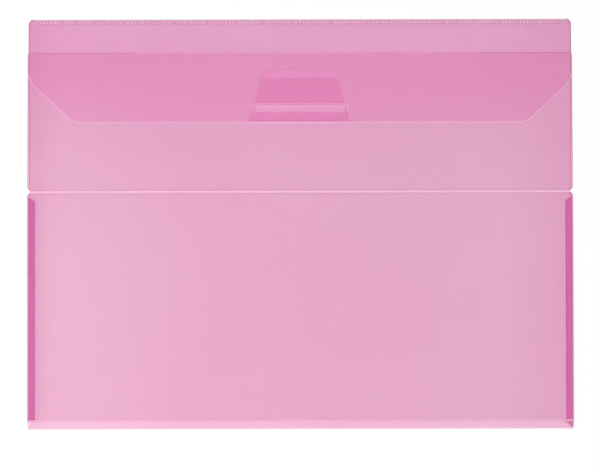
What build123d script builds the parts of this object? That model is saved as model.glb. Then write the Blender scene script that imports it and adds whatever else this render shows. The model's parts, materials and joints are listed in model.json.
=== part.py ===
from build123d import *
import math
import os

# A slim document carry case folded from thin translucent sheet, lying on its back.
# X runs to the right, Y towards the folded top edge and Z towards the viewer, in millimetres.
# The origin is at the middle of the case, on the surface that it lies on.

# Sheet
sheet = 0.5  # thickness of the sheet
fold_radius = 0.25  # inner radius of every folded crease

# Case
case_width = 320.0  # over the front panel and the gusset folds
case_height = 241.0  # from the bottom crease to the folded top edge
pocket_depth = 5.0  # clear depth between the back and the lower front
edge_step = 0.5  # how far the back and the flap stop short of the front's side edges
corner_radius = 2.6  # ends of the folded top edge

# Front panel
crease_height = 139.5  # from the bottom edge up to the cross crease
crease_band = 1.2  # width of the pressed band of the cross crease
crease_web = 0.3  # sheet left in the pressed band
crease_gap = 0.1  # between the band and the leaves above and below it
mouth_drop = 19.8  # from the folded top edge down to the front's free top edge
mouth_gap = 0.8  # clear gap between the back and the front at the front's free top edge
mouth_corner_radius = 1.6
bottom_strip = 4.7  # width of the sloping bottom wall as seen from the front

# Relief notches at both ends of the cross crease
notch_height = 4.3
notch_depth = 1.9

# Flap
flap_length = 61.3  # from the folded top edge to the flap's lower edge
flap_side = 36.5  # straight part of each side edge
flap_slant_inset = 26.5  # how far each slanted corner cuts into the lower edge
flap_corner_radius = 6.0

# Knurled crease at the folded top edge
knurl_band = 3.2  # width of the pressed band on the flap's side of the fold
knurl_pitch = 2.06
knurl_width = 1.2
knurl_length = 1.7
knurl_depth = 0.2
knurl_start = 0.45  # from the end of the fold's curve to the teeth
knurl_margin = 6.9  # plain length at each end of the row of teeth

# Tuck tongue and its slot
tongue_length = 30.8  # from the flap's lower edge to the tip
tongue_base_width = 61.0
tongue_neck_width = 55.8  # where it passes the slot
tongue_neck_height = 8.8  # from the flap's lower edge up to the neck
tongue_tip_width = 40.6  # before its corners are rounded
tongue_tip_radius = 5.6
tongue_root_length = 5.6  # flat part between the fold and the bend into the slot
tongue_float = 0.35  # gap between the front and the tongue lying on it
tongue_slope = 22.0  # degrees by which the tongue dips to pass the slot
tongue_bend_radius = 1.4
tongue_dip = 1.15  # clear drop below the front just past the slot
tongue_tip_dip = 0.75  # clear drop below the front at the tip
slot_drop = 52.4  # from the folded top edge to the middle of the slot
slot_height = 4.7
slot_side_clearance = 0.8
slot_corner_radius = 2.0

# Side gussets
gusset_reach = 4.7  # how far the inner fold lies in from the side edge
flange_width = 5.2  # weld flange, measured from the side edge
gusset_top_drop = 2.2  # from the cross crease down to the gusset's outer end
gusset_top_taper = 3.4  # further drop of the inner fold's end
gusset_bottom_rise = 2.3  # from the bottom edge up to the gusset's outer end
gusset_bottom_taper = 3.3  # further rise of the inner fold's end

# Lines that follow from the sizes above
outer_radius = fold_radius + sheet
y_top = case_height / 2
y_bottom = -case_height / 2
half_width = case_width / 2
back_width = case_width - 2 * edge_step
front_low = sheet + pocket_depth
front_top = front_low + sheet
tall = 4 * (front_top + outer_radius)  # taller than the case, for cutting tools

top_fold = (y_top - outer_radius, outer_radius)
bottom_fold = (y_bottom + outer_radius, outer_radius)
front_fold = (y_bottom + bottom_strip + fold_radius, front_low - fold_radius)
wall_angle = math.atan2(front_fold[1] - bottom_fold[1], front_fold[0] - bottom_fold[0])

crease_y = y_bottom + crease_height
leaf_start = crease_y + crease_band / 2 + crease_gap
mouth_y = y_top - mouth_drop
leaf_slope = math.atan2(front_low - sheet - mouth_gap, mouth_y - leaf_start)

tongue_fold_rise = tongue_float + sheet + fold_radius  # of the fold's centre above the front
flap_edge_y = y_top - flap_length
tongue_fold_y = flap_edge_y + outer_radius
leaf_foot_y = tongue_fold_y - tongue_fold_rise * math.sin(leaf_slope)
leaf_foot_z = front_top - (leaf_foot_y - leaf_start) * math.tan(leaf_slope)
tongue_centre = (tongue_fold_y, leaf_foot_z + tongue_fold_rise * math.cos(leaf_slope))
flap_slope = math.atan2(tongue_centre[1] - top_fold[1], top_fold[0] - tongue_centre[0])


def along_x(section, width):
    """Runs a section drawn in (Y, Z) across the case, centred on X = 0."""
    return extrude(Plane.YZ * section, amount=width / 2, both=True)


def along_y(section, y_low, y_high):
    """Runs a section drawn in (X, Z) up the case from y_low to y_high."""
    plane = Plane(origin=(0, y_high, 0), x_dir=(1, 0, 0), z_dir=(0, -1, 0))
    return extrude(plane * section, amount=y_high - y_low)


def upright(outline):
    """A cutting tool that stands on an outline drawn in (X, Y), through the whole case."""
    return extrude(outline, amount=tall / 2, both=True)


def polygon(*points):
    """The flat face inside straight lines through the points."""
    return make_face(Polyline(*points, close=True))


def bent_sheet(centre, start, sweep):
    """Section of the sheet where it bends round a centre, from one angle through a sweep."""
    outer = CenterArc(centre, outer_radius, start, sweep)
    inner = CenterArc(centre, fold_radius, start, sweep)
    sides = [Line(outer @ 1, inner @ 1), Line(inner @ 0, outer @ 0)]
    return make_face([outer, inner] + sides)


def beside(centre, angle, distance):
    """The point at a distance from a centre, in the direction of an angle in radians."""
    return (
        centre[0] + distance * math.cos(angle),
        centre[1] + distance * math.sin(angle),
    )


def on_leaf(along, height):
    """The (Y, Z) point above the sloping front leaf, counted from below the tongue's fold."""
    return (
        leaf_foot_y + along * math.cos(leaf_slope) + height * math.sin(leaf_slope),
        leaf_foot_z - along * math.sin(leaf_slope) + height * math.cos(leaf_slope),
    )


def sloping_plane(y, z, slope):
    """A plane through a line across the case, falling towards the top edge by a slope."""
    up = (0, math.sin(slope), math.cos(slope))
    return Plane(origin=(0, y, z), x_dir=(1, 0, 0), z_dir=up)


def both_sides(shape):
    """The left and the right copy of a shape made for the right side."""
    return {"left": mirror(shape, about=Plane.YZ), "right": shape}


def notches():
    """Both V notches at the ends of the cross crease, through every layer."""
    reach = half_width + 1
    slope = notch_height / 2 / notch_depth
    rise = slope * (reach - (half_width - notch_depth))
    tip = half_width - notch_depth
    outline = polygon((tip, crease_y), (reach, crease_y + rise), (reach, crease_y - rise))
    return list(both_sides(upright(outline)).values())


def case_outline():
    """Tool with the outline of the back and flap, its top corners rounded."""
    outline = Rectangle(back_width, case_height)
    outline = fillet(outline.vertices().group_by(Axis.Y)[-1], corner_radius)
    return upright(outline)


def back_panel():
    """The back: one flat leaf from the bottom crease to the folded top edge."""
    length = top_fold[0] - bottom_fold[0]
    middle = (top_fold[0] + bottom_fold[0]) / 2
    panel = extrude(Pos(0, middle) * Rectangle(back_width, length), amount=sheet)
    return (panel & case_outline()) - notches()


flap_root_y = top_fold[0] + fold_radius * math.sin(flap_slope)
flap_root_z = top_fold[1] + fold_radius * math.cos(flap_slope)
flap_plane = sloping_plane(flap_root_y, flap_root_z, flap_slope)
flap_reach = math.dist(top_fold, tongue_centre)  # along the flap, from fold to fold


def flap_hinge_strip():
    """The folded top edge with its row of pressed teeth, which the flap turns on."""
    turn = 180 - math.degrees(flap_slope)
    roll = along_x(bent_sheet(top_fold, -90, turn), back_width)
    band = flap_plane * Pos(0, -knurl_band / 2, sheet / 2) * Box(back_width, knurl_band, sheet)
    count = int((back_width - 2 * knurl_margin) / knurl_pitch) + 1
    middle = -knurl_start - knurl_length / 2
    tooth = Box(knurl_width, knurl_length, 2 * knurl_depth)
    places = GridLocations(knurl_pitch, 0, count, 1)
    teeth = [flap_plane * Pos(0, middle, sheet) * place * tooth for place in places]
    return ((roll + band) & case_outline()) - teeth


def flap_panel():
    """The flap, with slanted lower corners and a recess where the tongue folds back."""
    half = back_width / 2
    lower = -(flap_reach + outer_radius)
    side = -(flap_side - outer_radius)
    outline = polygon(
        (-half, -knurl_band),
        (half, -knurl_band),
        (half, side),
        (half - flap_slant_inset, lower),
        (flap_slant_inset - half, lower),
        (-half, side),
    )
    corners = outline.vertices().filter_by(lambda v: v.Y < -knurl_band - 1)
    outline = fillet(corners, flap_corner_radius)
    recess = Pos(0, lower) * Rectangle(tongue_base_width, 2 * outer_radius)
    return flap_plane * extrude(outline - recess, amount=sheet)


def tongue_outline():
    """Tool with the tongue's outline: a flared foot, a neck and a rounded tip."""
    base, neck, tip = tongue_base_width / 2, tongue_neck_width / 2, tongue_tip_width / 2
    neck_y = flap_edge_y + tongue_neck_height
    tip_y = flap_edge_y + tongue_length
    outline = polygon(
        (-base, flap_edge_y),
        (base, flap_edge_y),
        (neck, neck_y),
        (tip, tip_y),
        (-tip, tip_y),
        (-neck, neck_y),
    )
    outline = fillet(outline.vertices().group_by(Axis.Y)[-1], tongue_tip_radius)
    return upright(outline)


def tongue_fold():
    """The crease at the flap's lower edge, where the tongue turns back under the flap."""
    start = 90 - math.degrees(flap_slope)
    turn = 180 + math.degrees(flap_slope - leaf_slope)
    roll = along_x(bent_sheet(tongue_centre, start, turn), tongue_base_width)
    return roll & tongue_outline()


def tongue_root():
    """The foot of the tongue, lying on the front below the slot."""
    section = polygon(
        on_leaf(0, tongue_float),
        on_leaf(tongue_root_length, tongue_float),
        on_leaf(tongue_root_length, tongue_float + sheet),
        on_leaf(0, tongue_float + sheet),
    )
    return along_x(section, tongue_base_width) & tongue_outline()


def tongue_blade():
    """The rest of the tongue: down through the slot, then up inside the pocket."""
    slope = math.tan(math.radians(tongue_slope))
    slot_along = (y_top - slot_drop - tongue_fold_y) / math.cos(leaf_slope)
    start = tongue_float + sheet / 2
    inside = -sheet - tongue_dip - sheet / 2
    tip = -sheet - tongue_tip_dip - sheet / 2
    dip_from = slot_along - (start + sheet / 2) / slope
    dip_to = slot_along - (inside + sheet / 2) / slope
    tip_along = (flap_edge_y + tongue_length + sheet - tongue_fold_y) / math.cos(leaf_slope)
    middle_line = FilletPolyline(
        on_leaf(tongue_root_length, start),
        on_leaf(dip_from, start),
        on_leaf(dip_to, inside),
        on_leaf(tip_along, tip),
        radius=tongue_bend_radius,
    )
    section = trace(middle_line, line_width=sheet)
    return along_x(section, tongue_base_width) & tongue_outline()


def front_upper_panel():
    """The free upper leaf of the front, with the slot for the tongue."""
    length = (mouth_y - leaf_start) / math.cos(leaf_slope)
    outline = Pos(0, length / 2) * Rectangle(case_width, length)
    outline = fillet(outline.vertices().group_by(Axis.Y)[-1], mouth_corner_radius)
    slot_along = (y_top - slot_drop - leaf_start) / math.cos(leaf_slope)
    slot_width = tongue_neck_width + 2 * slot_side_clearance
    slot = Pos(0, slot_along) * RectangleRounded(slot_width, slot_height, slot_corner_radius)
    plane = sloping_plane(leaf_start, front_top, leaf_slope)
    return plane * extrude(outline - slot, amount=-sheet) - notches()


def front_crease():
    """The pressed band of the cross crease, thinner than the leaves beside it."""
    band = Pos(0, crease_y, front_low + crease_web / 2) * Box(case_width, crease_band, crease_web)
    return band - notches()


def front_lower_panel():
    """The lower leaf of the front, which the gussets and the bottom wall hold up."""
    top = crease_y - crease_band / 2 - crease_gap
    length = top - front_fold[0]
    middle = Pos(0, front_fold[0] + length / 2, front_low + sheet / 2)
    return middle * Box(case_width, length, sheet) - notches()


def front_bottom_crease():
    """The bend between the bottom wall and the lower front."""
    return along_x(bent_sheet(front_fold, 90, math.degrees(wall_angle)), case_width)


def bottom_wall():
    """The narrow sloping wall that closes the pocket below."""
    outward = wall_angle + math.pi / 2
    section = polygon(
        beside(bottom_fold, outward, fold_radius),
        beside(bottom_fold, outward, outer_radius),
        beside(front_fold, outward, outer_radius),
        beside(front_fold, outward, fold_radius),
    )
    return along_x(section, case_width)


def back_bottom_crease():
    """The bend between the back and the bottom wall."""
    start = 90 + math.degrees(wall_angle)
    return along_x(bent_sheet(bottom_fold, start, 270 - start), back_width)


gusset_fold = (half_width - outer_radius, 2 * sheet + fold_radius)  # in (X, Z), by the back
inner_fold = (half_width - gusset_reach + outer_radius, sheet + pocket_depth / 2)
fold_step = (gusset_fold[0] - inner_fold[0], inner_fold[1] - gusset_fold[1])
gusset_angle = math.atan2(fold_step[1], fold_step[0]) - math.asin(
    (fold_radius + outer_radius) / math.hypot(*fold_step)
)
gusset_top = crease_y - gusset_top_drop
gusset_bottom = y_bottom + gusset_bottom_rise


def gusset_outline(low_outer, low_inner):
    """Tool with a gusset's outline in plan, its ends slanted towards the inner fold."""
    side = half_width + 1
    inner = half_width - gusset_reach
    slope_top = gusset_top_taper / gusset_reach
    slope_low = (low_inner - low_outer) / gusset_reach
    return upright(
        polygon(
            (side, low_outer - slope_low),
            (side, gusset_top + slope_top),
            (inner - 1, gusset_top - slope_top * (gusset_reach + 1)),
            (inner - 1, low_outer + slope_low * (gusset_reach + 1)),
        )
    )


def gusset_pieces():
    """The welded flange, fold and leaf beside the back, the same by the front, and the V."""
    low, high = y_bottom, y_top
    flange = Pos((half_width - flange_width + gusset_fold[0]) / 2, 1.5 * sheet) * Rectangle(
        gusset_fold[0] - half_width + flange_width, sheet
    )
    across = math.pi / 2 - gusset_angle
    leaf = polygon(
        beside(gusset_fold, across, fold_radius),
        beside(gusset_fold, across, outer_radius),
        beside(inner_fold, across + math.pi, fold_radius),
        beside(inner_fold, across + math.pi, outer_radius),
    )
    angle = math.degrees(gusset_angle)
    fold = bent_sheet(gusset_fold, -90, 180 - angle)
    inner = bent_sheet(inner_fold, 90 + angle, 180 - 2 * angle)
    inner_end = gusset_bottom + gusset_bottom_taper
    by_back = gusset_outline(gusset_bottom, inner_end)
    by_front = gusset_outline(inner_end, inner_end)
    middle = Plane.XY.offset(sheet + pocket_depth / 2)
    pieces = {}
    for name, section in (("flange", flange), ("fold", fold), ("leaf", leaf)):
        strip = along_y(section, low, high)
        pieces["back_" + name] = strip & by_back
        pieces["front_" + name] = mirror(strip, about=middle) & by_front
    pieces["inner_fold"] = along_y(inner, low, high) & by_front
    return pieces


parts = {
    "back_panel": back_panel(),
    "back_bottom_crease": back_bottom_crease(),
    "flap_hinge_strip": flap_hinge_strip(),
    "flap_panel": flap_panel(),
    "tongue_fold": tongue_fold(),
    "tongue_root": tongue_root(),
    "tongue_blade": tongue_blade(),
    "front_upper_panel": front_upper_panel(),
    "front_crease": front_crease(),
    "front_lower_panel": front_lower_panel(),
    "front_bottom_crease": front_bottom_crease(),
    "bottom_wall": bottom_wall(),
}
for piece, shape in gusset_pieces().items():
    for side, copy in both_sides(shape).items():
        parts[f"gusset_{side}_{piece}"] = copy

os.makedirs("parts", exist_ok=True)
for node, shape in parts.items():
    export_step(shape, f"parts/{node}.step")

# What the hinge lines and their travel follow from
flat_rise = fold_radius + outer_radius  # of the inner fold when the gusset leaves lie flat
travel_down = 2 * (fold_step[1] - flat_rise)
wall_length = math.dist(bottom_fold, front_fold)
flat_wall = math.asin((front_fold[1] - bottom_fold[1] - travel_down) / wall_length)
travel_up = wall_length * (math.cos(flat_wall) - math.cos(wall_angle))
print("flap slope, opening", math.degrees(flap_slope), 180 - math.degrees(flap_slope))
print("front leaf slope", math.degrees(leaf_slope))
print("front travel down and up the case", travel_down, travel_up)
print("bottom wall turns", math.degrees(wall_angle - flat_wall))
print("gusset leaves turn", math.degrees(gusset_angle))
print("top fold", top_fold, "tongue fold", tongue_centre, "leaf start", leaf_start, front_top)
print("bottom fold", bottom_fold, "front fold", front_fold)
print("gusset fold", gusset_fold, "inner fold", inner_fold, "crease", crease_y)
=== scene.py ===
"""A slim document carry case folded from translucent sheet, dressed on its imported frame.

Every sheet is cut flat from a pattern, scored, bent along its creases and then given its
thickness, as the real one is. Lengths are in metres, and angles in degrees.
"""

import json
import logging
import math
import random
from collections.abc import Iterable, Sequence
from dataclasses import dataclass, field
from enum import Enum

import bmesh
import bpy
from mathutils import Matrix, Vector, noise
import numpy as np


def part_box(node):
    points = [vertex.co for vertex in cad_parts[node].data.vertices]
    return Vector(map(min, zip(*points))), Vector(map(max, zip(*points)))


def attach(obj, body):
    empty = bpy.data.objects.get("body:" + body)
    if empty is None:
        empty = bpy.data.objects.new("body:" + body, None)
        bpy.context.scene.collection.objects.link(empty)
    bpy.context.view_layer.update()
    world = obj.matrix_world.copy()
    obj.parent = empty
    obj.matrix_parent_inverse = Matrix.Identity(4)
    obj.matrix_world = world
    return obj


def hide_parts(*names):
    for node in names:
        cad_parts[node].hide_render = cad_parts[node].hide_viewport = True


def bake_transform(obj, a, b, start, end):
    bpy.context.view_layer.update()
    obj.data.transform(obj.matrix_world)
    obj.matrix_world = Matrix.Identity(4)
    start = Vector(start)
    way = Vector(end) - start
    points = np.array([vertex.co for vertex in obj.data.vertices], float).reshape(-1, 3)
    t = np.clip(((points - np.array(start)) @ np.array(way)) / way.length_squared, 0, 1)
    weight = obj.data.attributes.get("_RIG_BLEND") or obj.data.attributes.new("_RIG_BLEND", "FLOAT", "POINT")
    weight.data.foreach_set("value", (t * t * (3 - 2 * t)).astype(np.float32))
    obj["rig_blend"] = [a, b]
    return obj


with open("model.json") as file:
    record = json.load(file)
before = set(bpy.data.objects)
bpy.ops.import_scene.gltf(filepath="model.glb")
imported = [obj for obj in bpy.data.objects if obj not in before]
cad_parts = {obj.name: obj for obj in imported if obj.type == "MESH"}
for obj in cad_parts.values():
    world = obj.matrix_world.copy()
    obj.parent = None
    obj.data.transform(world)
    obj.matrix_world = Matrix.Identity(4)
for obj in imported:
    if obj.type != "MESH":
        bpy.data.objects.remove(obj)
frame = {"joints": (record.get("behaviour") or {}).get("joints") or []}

LOG = logging.getLogger("carry_case")
MM = 0.001

Colour = tuple[float, float, float]
Corner = tuple[float, ...]  # across, along and, where the corner is rounded, its radius
Point = tuple[float, float, float]
Spot = tuple[float, float]
Span = tuple[float, float]  # from where and to where
Bend = tuple[float, float]  # length of a run or bend, and how far it turns
Waves = tuple[float, float]  # waves a metre, and how many finer ones are in each
Press = tuple[float, float]  # width and strength of a line in the sheet
Fade = tuple[float, float, float]  # where a tone begins, where it is whole, and its share

CUT_EDGE = "cut_edge"  # 1 where a cut edge has a painted highlight, -1 where it has painted shade, 0 one edge band inside
PRESS_WHITE_OR_LIT = "pressed"  # how far a press has whitened the sheet, and painted highlights drawn the same way
SHADE_TONE = "hollow"  # how deep the tone is: painted shade beside a crease, fold or tooth, and deeper tone elsewhere
EDGE_BAND = 0.8 * MM  # how far in a cut edge's painted highlight or shade reaches
SPARE = 4 * EDGE_BAND  # how much longer a sheet is cut where it is cropped later
CELL = 8.0 * MM  # longest side of a sheet's faces
FINEST_BEND = 15.0  # most degrees that one row of faces turns
WELD = 0.001 * MM  # spots closer than this are one
LAST_WELD = 0.005 * MM  # the same once a sheet is bent
LIGHT_PASSED = 0.85  # share of a sheet's cover that scatters light on to the next sheet
POLYPROPYLENE_IOR = 1.49
WHITE = (1.0, 1.0, 1.0, 1.0)
MIX_COLOURS = (0, 6, 7)  # a Mix node's inputs for a factor and two colours
MIXED_COLOUR = 2  # its output for a colour
CORNER_FACES = 8  # edges that round one corner of a flat outline
CORNER_CUTS = (10, 27, 45, 63, 80)  # directions, in degrees, of the cuts that round a corner


def clamp(value: float) -> float:
    """A value held between 0 and 1."""
    return min(1.0, max(0.0, value))


class Fold(Enum):
    """Which way a sheet's creases run."""

    ACROSS = "along X"
    UP = "along Y"

    def place(self, across: float, reach: float, height: float) -> Point:
        """Puts a bent point into the case.

        Args:
            across: Place along the crease.
            reach: Place square to the crease, in plan.
            height: Height above the surface that the case lies on.

        Returns:
            The point in the frame's own axes.
        """
        return (across, reach, height) if self is Fold.ACROSS else (reach, across, height)


@dataclass(frozen=True)
class BendLine:
    """The middle line of a sheet seen end on: straight runs and bends, one after another.

    Attributes:
        start: Where the line begins, as (reach, height).
        heading: Its first direction, 0 along the reach and 90 upwards.
        steps: The runs and bends in order.
    """

    start: Spot
    heading: float
    steps: tuple[Bend, ...]

    def at(self, along: float) -> tuple[float, float, float]:
        """Finds a place on the line.

        Args:
            along: Length from the line's start. Past its ends the line carries on.

        Returns:
            The reach, the height and the heading in radians.
        """
        (reach, height), heading = self.start, math.radians(self.heading)
        left = along
        for index, (length, turn) in enumerate(self.steps):
            last = index == len(self.steps) - 1
            part = left if last else min(left, length)
            bend = math.radians(turn) * part / length
            if turn:
                radius = length / math.radians(turn)
                reach += radius * (math.sin(heading + bend) - math.sin(heading))
                height -= radius * (math.cos(heading + bend) - math.cos(heading))
            else:
                reach += part * math.cos(heading)
                height += part * math.sin(heading)
            heading += bend
            left -= part
            if left <= 0:
                break
        return reach, height, heading

    def rows(self) -> list[float]:
        """Finds where a sheet needs a row of vertices to bend well.

        Returns:
            Lengths along the line, in order.
        """
        rows, along = set(), 0.0
        for length, turn in self.steps:
            count = max(1, math.ceil(abs(turn) / FINEST_BEND))
            rows |= {along + length * step / count for step in range(count + 1)}
            along += length
        return sorted(rows)

    def length(self) -> float:
        """The whole length of the line."""
        return sum(length for length, _ in self.steps)


def arc(radius: float, turn: float) -> Bend:
    """A bend of some degrees at a radius."""
    return radius * math.radians(abs(turn)), turn


@dataclass(frozen=True)
class Ripple:
    """The slight waves of a stored sheet.

    Attributes:
        height: The most that they rise.
        wave: Length of one wave.
        seed: Which of many such sheets it is.
        onset: How steeply they set in from the outline, 1 where that takes one wave.
    """

    height: float
    wave: float
    seed: float
    onset: float = 3.0


@dataclass
class Pattern:
    """A sheet cut flat: X across, Y along the sheet and Z off its middle, until it is bent.

    Attributes:
        bm: The sheet's mesh.
        cut_edge: The layer CUT_EDGE of its vertices, for painted highlight and shade on cut edges.
        pressed: The layer PRESS_WHITE_OR_LIT, of press whitening and painted highlights.
        hollow: The layer SHADE_TONE, of painted shade and deeper tone.
    """

    bm: bmesh.types.BMesh = field(default_factory=bmesh.new)
    cut_edge: bmesh.types.BMLayerItem = field(init=False)
    pressed: bmesh.types.BMLayerItem = field(init=False)
    hollow: bmesh.types.BMLayerItem = field(init=False)

    def __post_init__(self) -> None:
        """Gives the sheet the layers that its finish reads."""
        layers = self.bm.verts.layers.float
        self.cut_edge = layers.new(CUT_EDGE)
        self.pressed = layers.new(PRESS_WHITE_OR_LIT)
        self.hollow = layers.new(SHADE_TONE)

    def everything(self) -> list:
        """All vertices, edges and faces, for an operator that takes them together."""
        return self.bm.verts[:] + self.bm.edges[:] + self.bm.faces[:]

    def cut(self, corners: Sequence[Corner], framed: bool = True) -> None:
        """Cuts one face out of the sheet.

        Args:
            corners: The outline's corners in order.
            framed: Whether a ring runs just inside the outline, for the cut edge's painted highlight or
                shade.
        """
        verts = [self.bm.verts.new((*corner[:2], 0.0)) for corner in corners]
        face = self.bm.faces.new(verts)
        for vert, (_, _, *radius) in zip(verts, corners):
            if radius:
                self._round(vert, *radius)
        if framed:
            face = max(self.bm.faces, key=lambda item: item.calc_area())
            face.normal_update()
            bmesh.ops.inset_individual(
                self.bm, faces=[face], thickness=EDGE_BAND, use_even_offset=True
            )
            # A painted highlight along the whole outline, to begin with.
            for vert in self.bm.verts:
                vert[self.cut_edge] = float(vert.is_boundary)

    def turn_away(self, beyond: float) -> None:
        """Gives the cut edge past a distance from the middle of the case painted shade in place of its
        painted highlight.
        """
        for vert in self.bm.verts:
            if vert.co.x > beyond:
                vert[self.cut_edge] *= -1

    def _round(self, vert: bmesh.types.BMVert, radius: float) -> None:
        """Rounds one corner of a flat outline.

        Args:
            vert: The corner.
            radius: Its radius.
        """
        first, second = (edge.other_vert(vert).co - vert.co for edge in vert.link_edges)
        bmesh.ops.bevel(
            self.bm,
            geom=[vert],
            offset=radius / math.tan(first.angle(second) / 2),
            offset_type="OFFSET",
            affect="VERTICES",
            segments=CORNER_FACES,
            profile=0.5,  # a true arc
            material=-1,
        )

    def slice(self, point: Point, normal: Point, clear: bool = False) -> None:
        """Scores the sheet along a plane.

        Args:
            point: A point of the plane.
            normal: The plane's normal.
            clear: Whether what lies beyond the plane is taken away.
        """
        bmesh.ops.bisect_plane(
            self.bm,
            geom=self.everything(),
            dist=WELD,
            plane_co=point,
            plane_no=normal,
            clear_outer=clear,
        )

    def crop(self, low: float, high: float | None = None) -> None:
        """Takes away what is too long of the flat sheet.

        Args:
            low: The row that it begins at.
            high: The row that it ends at, where it is cropped there too.
        """
        self.slice((0, low, 0), (0, -1, 0), clear=True)
        if high is not None:
            self.slice((0, high, 0), (0, 1, 0), clear=True)

    def rule(self, rows: Iterable[float], columns: Iterable[float] = ()) -> None:
        """Scores the flat sheet.

        Args:
            rows: Where lines run across it.
            columns: Where lines run along it.
        """
        for along in rows:
            self.slice((0, along, 0), (0, 1, 0))
        for across in columns:
            self.slice((across, 0, 0), (1, 0, 0))

    def streak(
        self,
        layer: bmesh.types.BMLayerItem,
        along: float,
        width: float,
        strength: float,
        reach: float = 1.0,
    ) -> None:
        """Draws a soft line across the flat sheet in one of its layers.

        Args:
            layer: The layer to draw in.
            along: Where the middle of the line is.
            width: Its whole width. The middle half is as strong as it gets.
            strength: How strong it gets.
            reach: How far it runs from the middle of the case.
        """
        ends = (reach, reach + width / 2) if reach < 1.0 else ()
        self.rule([along + width * part for part in (-0.5, -0.25, 0.25, 0.5)], ends)
        for vert in self.bm.verts:
            fade = clamp(2 - 4 * abs(vert.co.y - along) / width)
            if fade and vert.co.x <= reach + WELD:
                vert[layer] = max(vert[layer], strength * fade)

    def grid(self, line: BendLine, low: float, high: float, half: float) -> None:
        """Rules the right half of a flat sheet in cells, with a row wherever its line bends.

        Args:
            line: The line that it is bent along later.
            low: Where the sheet begins on it.
            high: Where the sheet ends on it.
            half: Half the sheet's width.
        """
        rows = {row for row in line.rows() if low < row < high}
        count = max(1, round((high - low) / CELL))
        even = (low + (high - low) * step / count for step in range(1, count))
        rows |= {row for row in even if all(abs(row - other) > CELL / 3 for other in rows)}
        columns = (CELL * step for step in range(1, int(half / CELL)))
        self.rule(sorted(rows), columns)

    def mirror(self) -> None:
        """Trims a right half at the middle of the case and adds the left half to it."""
        self.slice((0, 0, 0), (-1, 0, 0), clear=True)
        bmesh.ops.mirror(self.bm, geom=self.everything(), axis="X", merge_dist=WELD)
        bmesh.ops.recalc_face_normals(self.bm, faces=self.bm.faces)

    def ripple(self, waves: Ripple) -> None:
        """Gives a flat sheet its slight waves, calm along its outline.

        Args:
            waves: The waves.
        """
        wide = max(vert.co.x for vert in self.bm.verts)
        low = min(vert.co.y for vert in self.bm.verts)
        high = max(vert.co.y for vert in self.bm.verts)
        for vert in self.bm.verts:
            inside = min(wide - abs(vert.co.x), vert.co.y - low, high - vert.co.y) / waves.wave
            calm = clamp(waves.onset * inside)
            spot = Vector((vert.co.x / waves.wave, vert.co.y / waves.wave, waves.seed))
            vert.co.z += waves.height * (calm * noise.noise(spot)) ** 2

    def bend(self, line: BendLine, fold: Fold = Fold.ACROSS) -> None:
        """Bends the flat sheet along its line and puts it in its place in the case.

        Args:
            line: The line, seen end on.
            fold: Which way its creases run.
        """
        for vert in self.bm.verts:
            across, along, off = vert.co
            reach, height, heading = line.at(along)
            reach -= off * math.sin(heading)
            height += off * math.cos(heading)
            vert.co = fold.place(across, reach, height)

    def trim(self, point: Point, normal: Point) -> None:
        """Cuts a bent sheet off at an upright plane and gives the new edge a painted highlight.

        Args:
            point: A point of the plane.
            normal: Which way the sheet is taken away.
        """
        out = Vector(normal).normalized()
        self.slice(Vector(point) - out * EDGE_BAND, out)
        self.slice(point, out, clear=True)
        for vert in self.bm.verts:
            past = (vert.co - Vector(point)).dot(out) / EDGE_BAND + 1
            vert[self.cut_edge] = max(vert[self.cut_edge], clamp(past))

    def tidy(self) -> None:
        """Joins spots that scoring left doubled."""
        bmesh.ops.remove_doubles(self.bm, verts=self.bm.verts, dist=LAST_WELD)
        bmesh.ops.dissolve_degenerate(self.bm, dist=WELD, edges=self.bm.edges)
        bmesh.ops.recalc_face_normals(self.bm, faces=self.bm.faces)

    def fill(self, corner: Spot, opposite: Spot) -> None:
        """Adds a plain rectangle to the flat sheet.

        Args:
            corner: Its first corner, as (across, along).
            opposite: The corner opposite to it.
        """
        (left, low), (right, high) = corner, opposite
        spots = ((left, low), (right, low), (right, high), (left, high))
        verts = [self.bm.verts.new((across, along, 0.0)) for across, along in spots]
        self.bm.faces.new(verts)


class Shade(Enum):
    """Shared node groups of the sheet's finish."""

    STOCK = "sheet_stock"
    WORK = "worked_lines"
    WEAR = "handling_marks"


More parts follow.
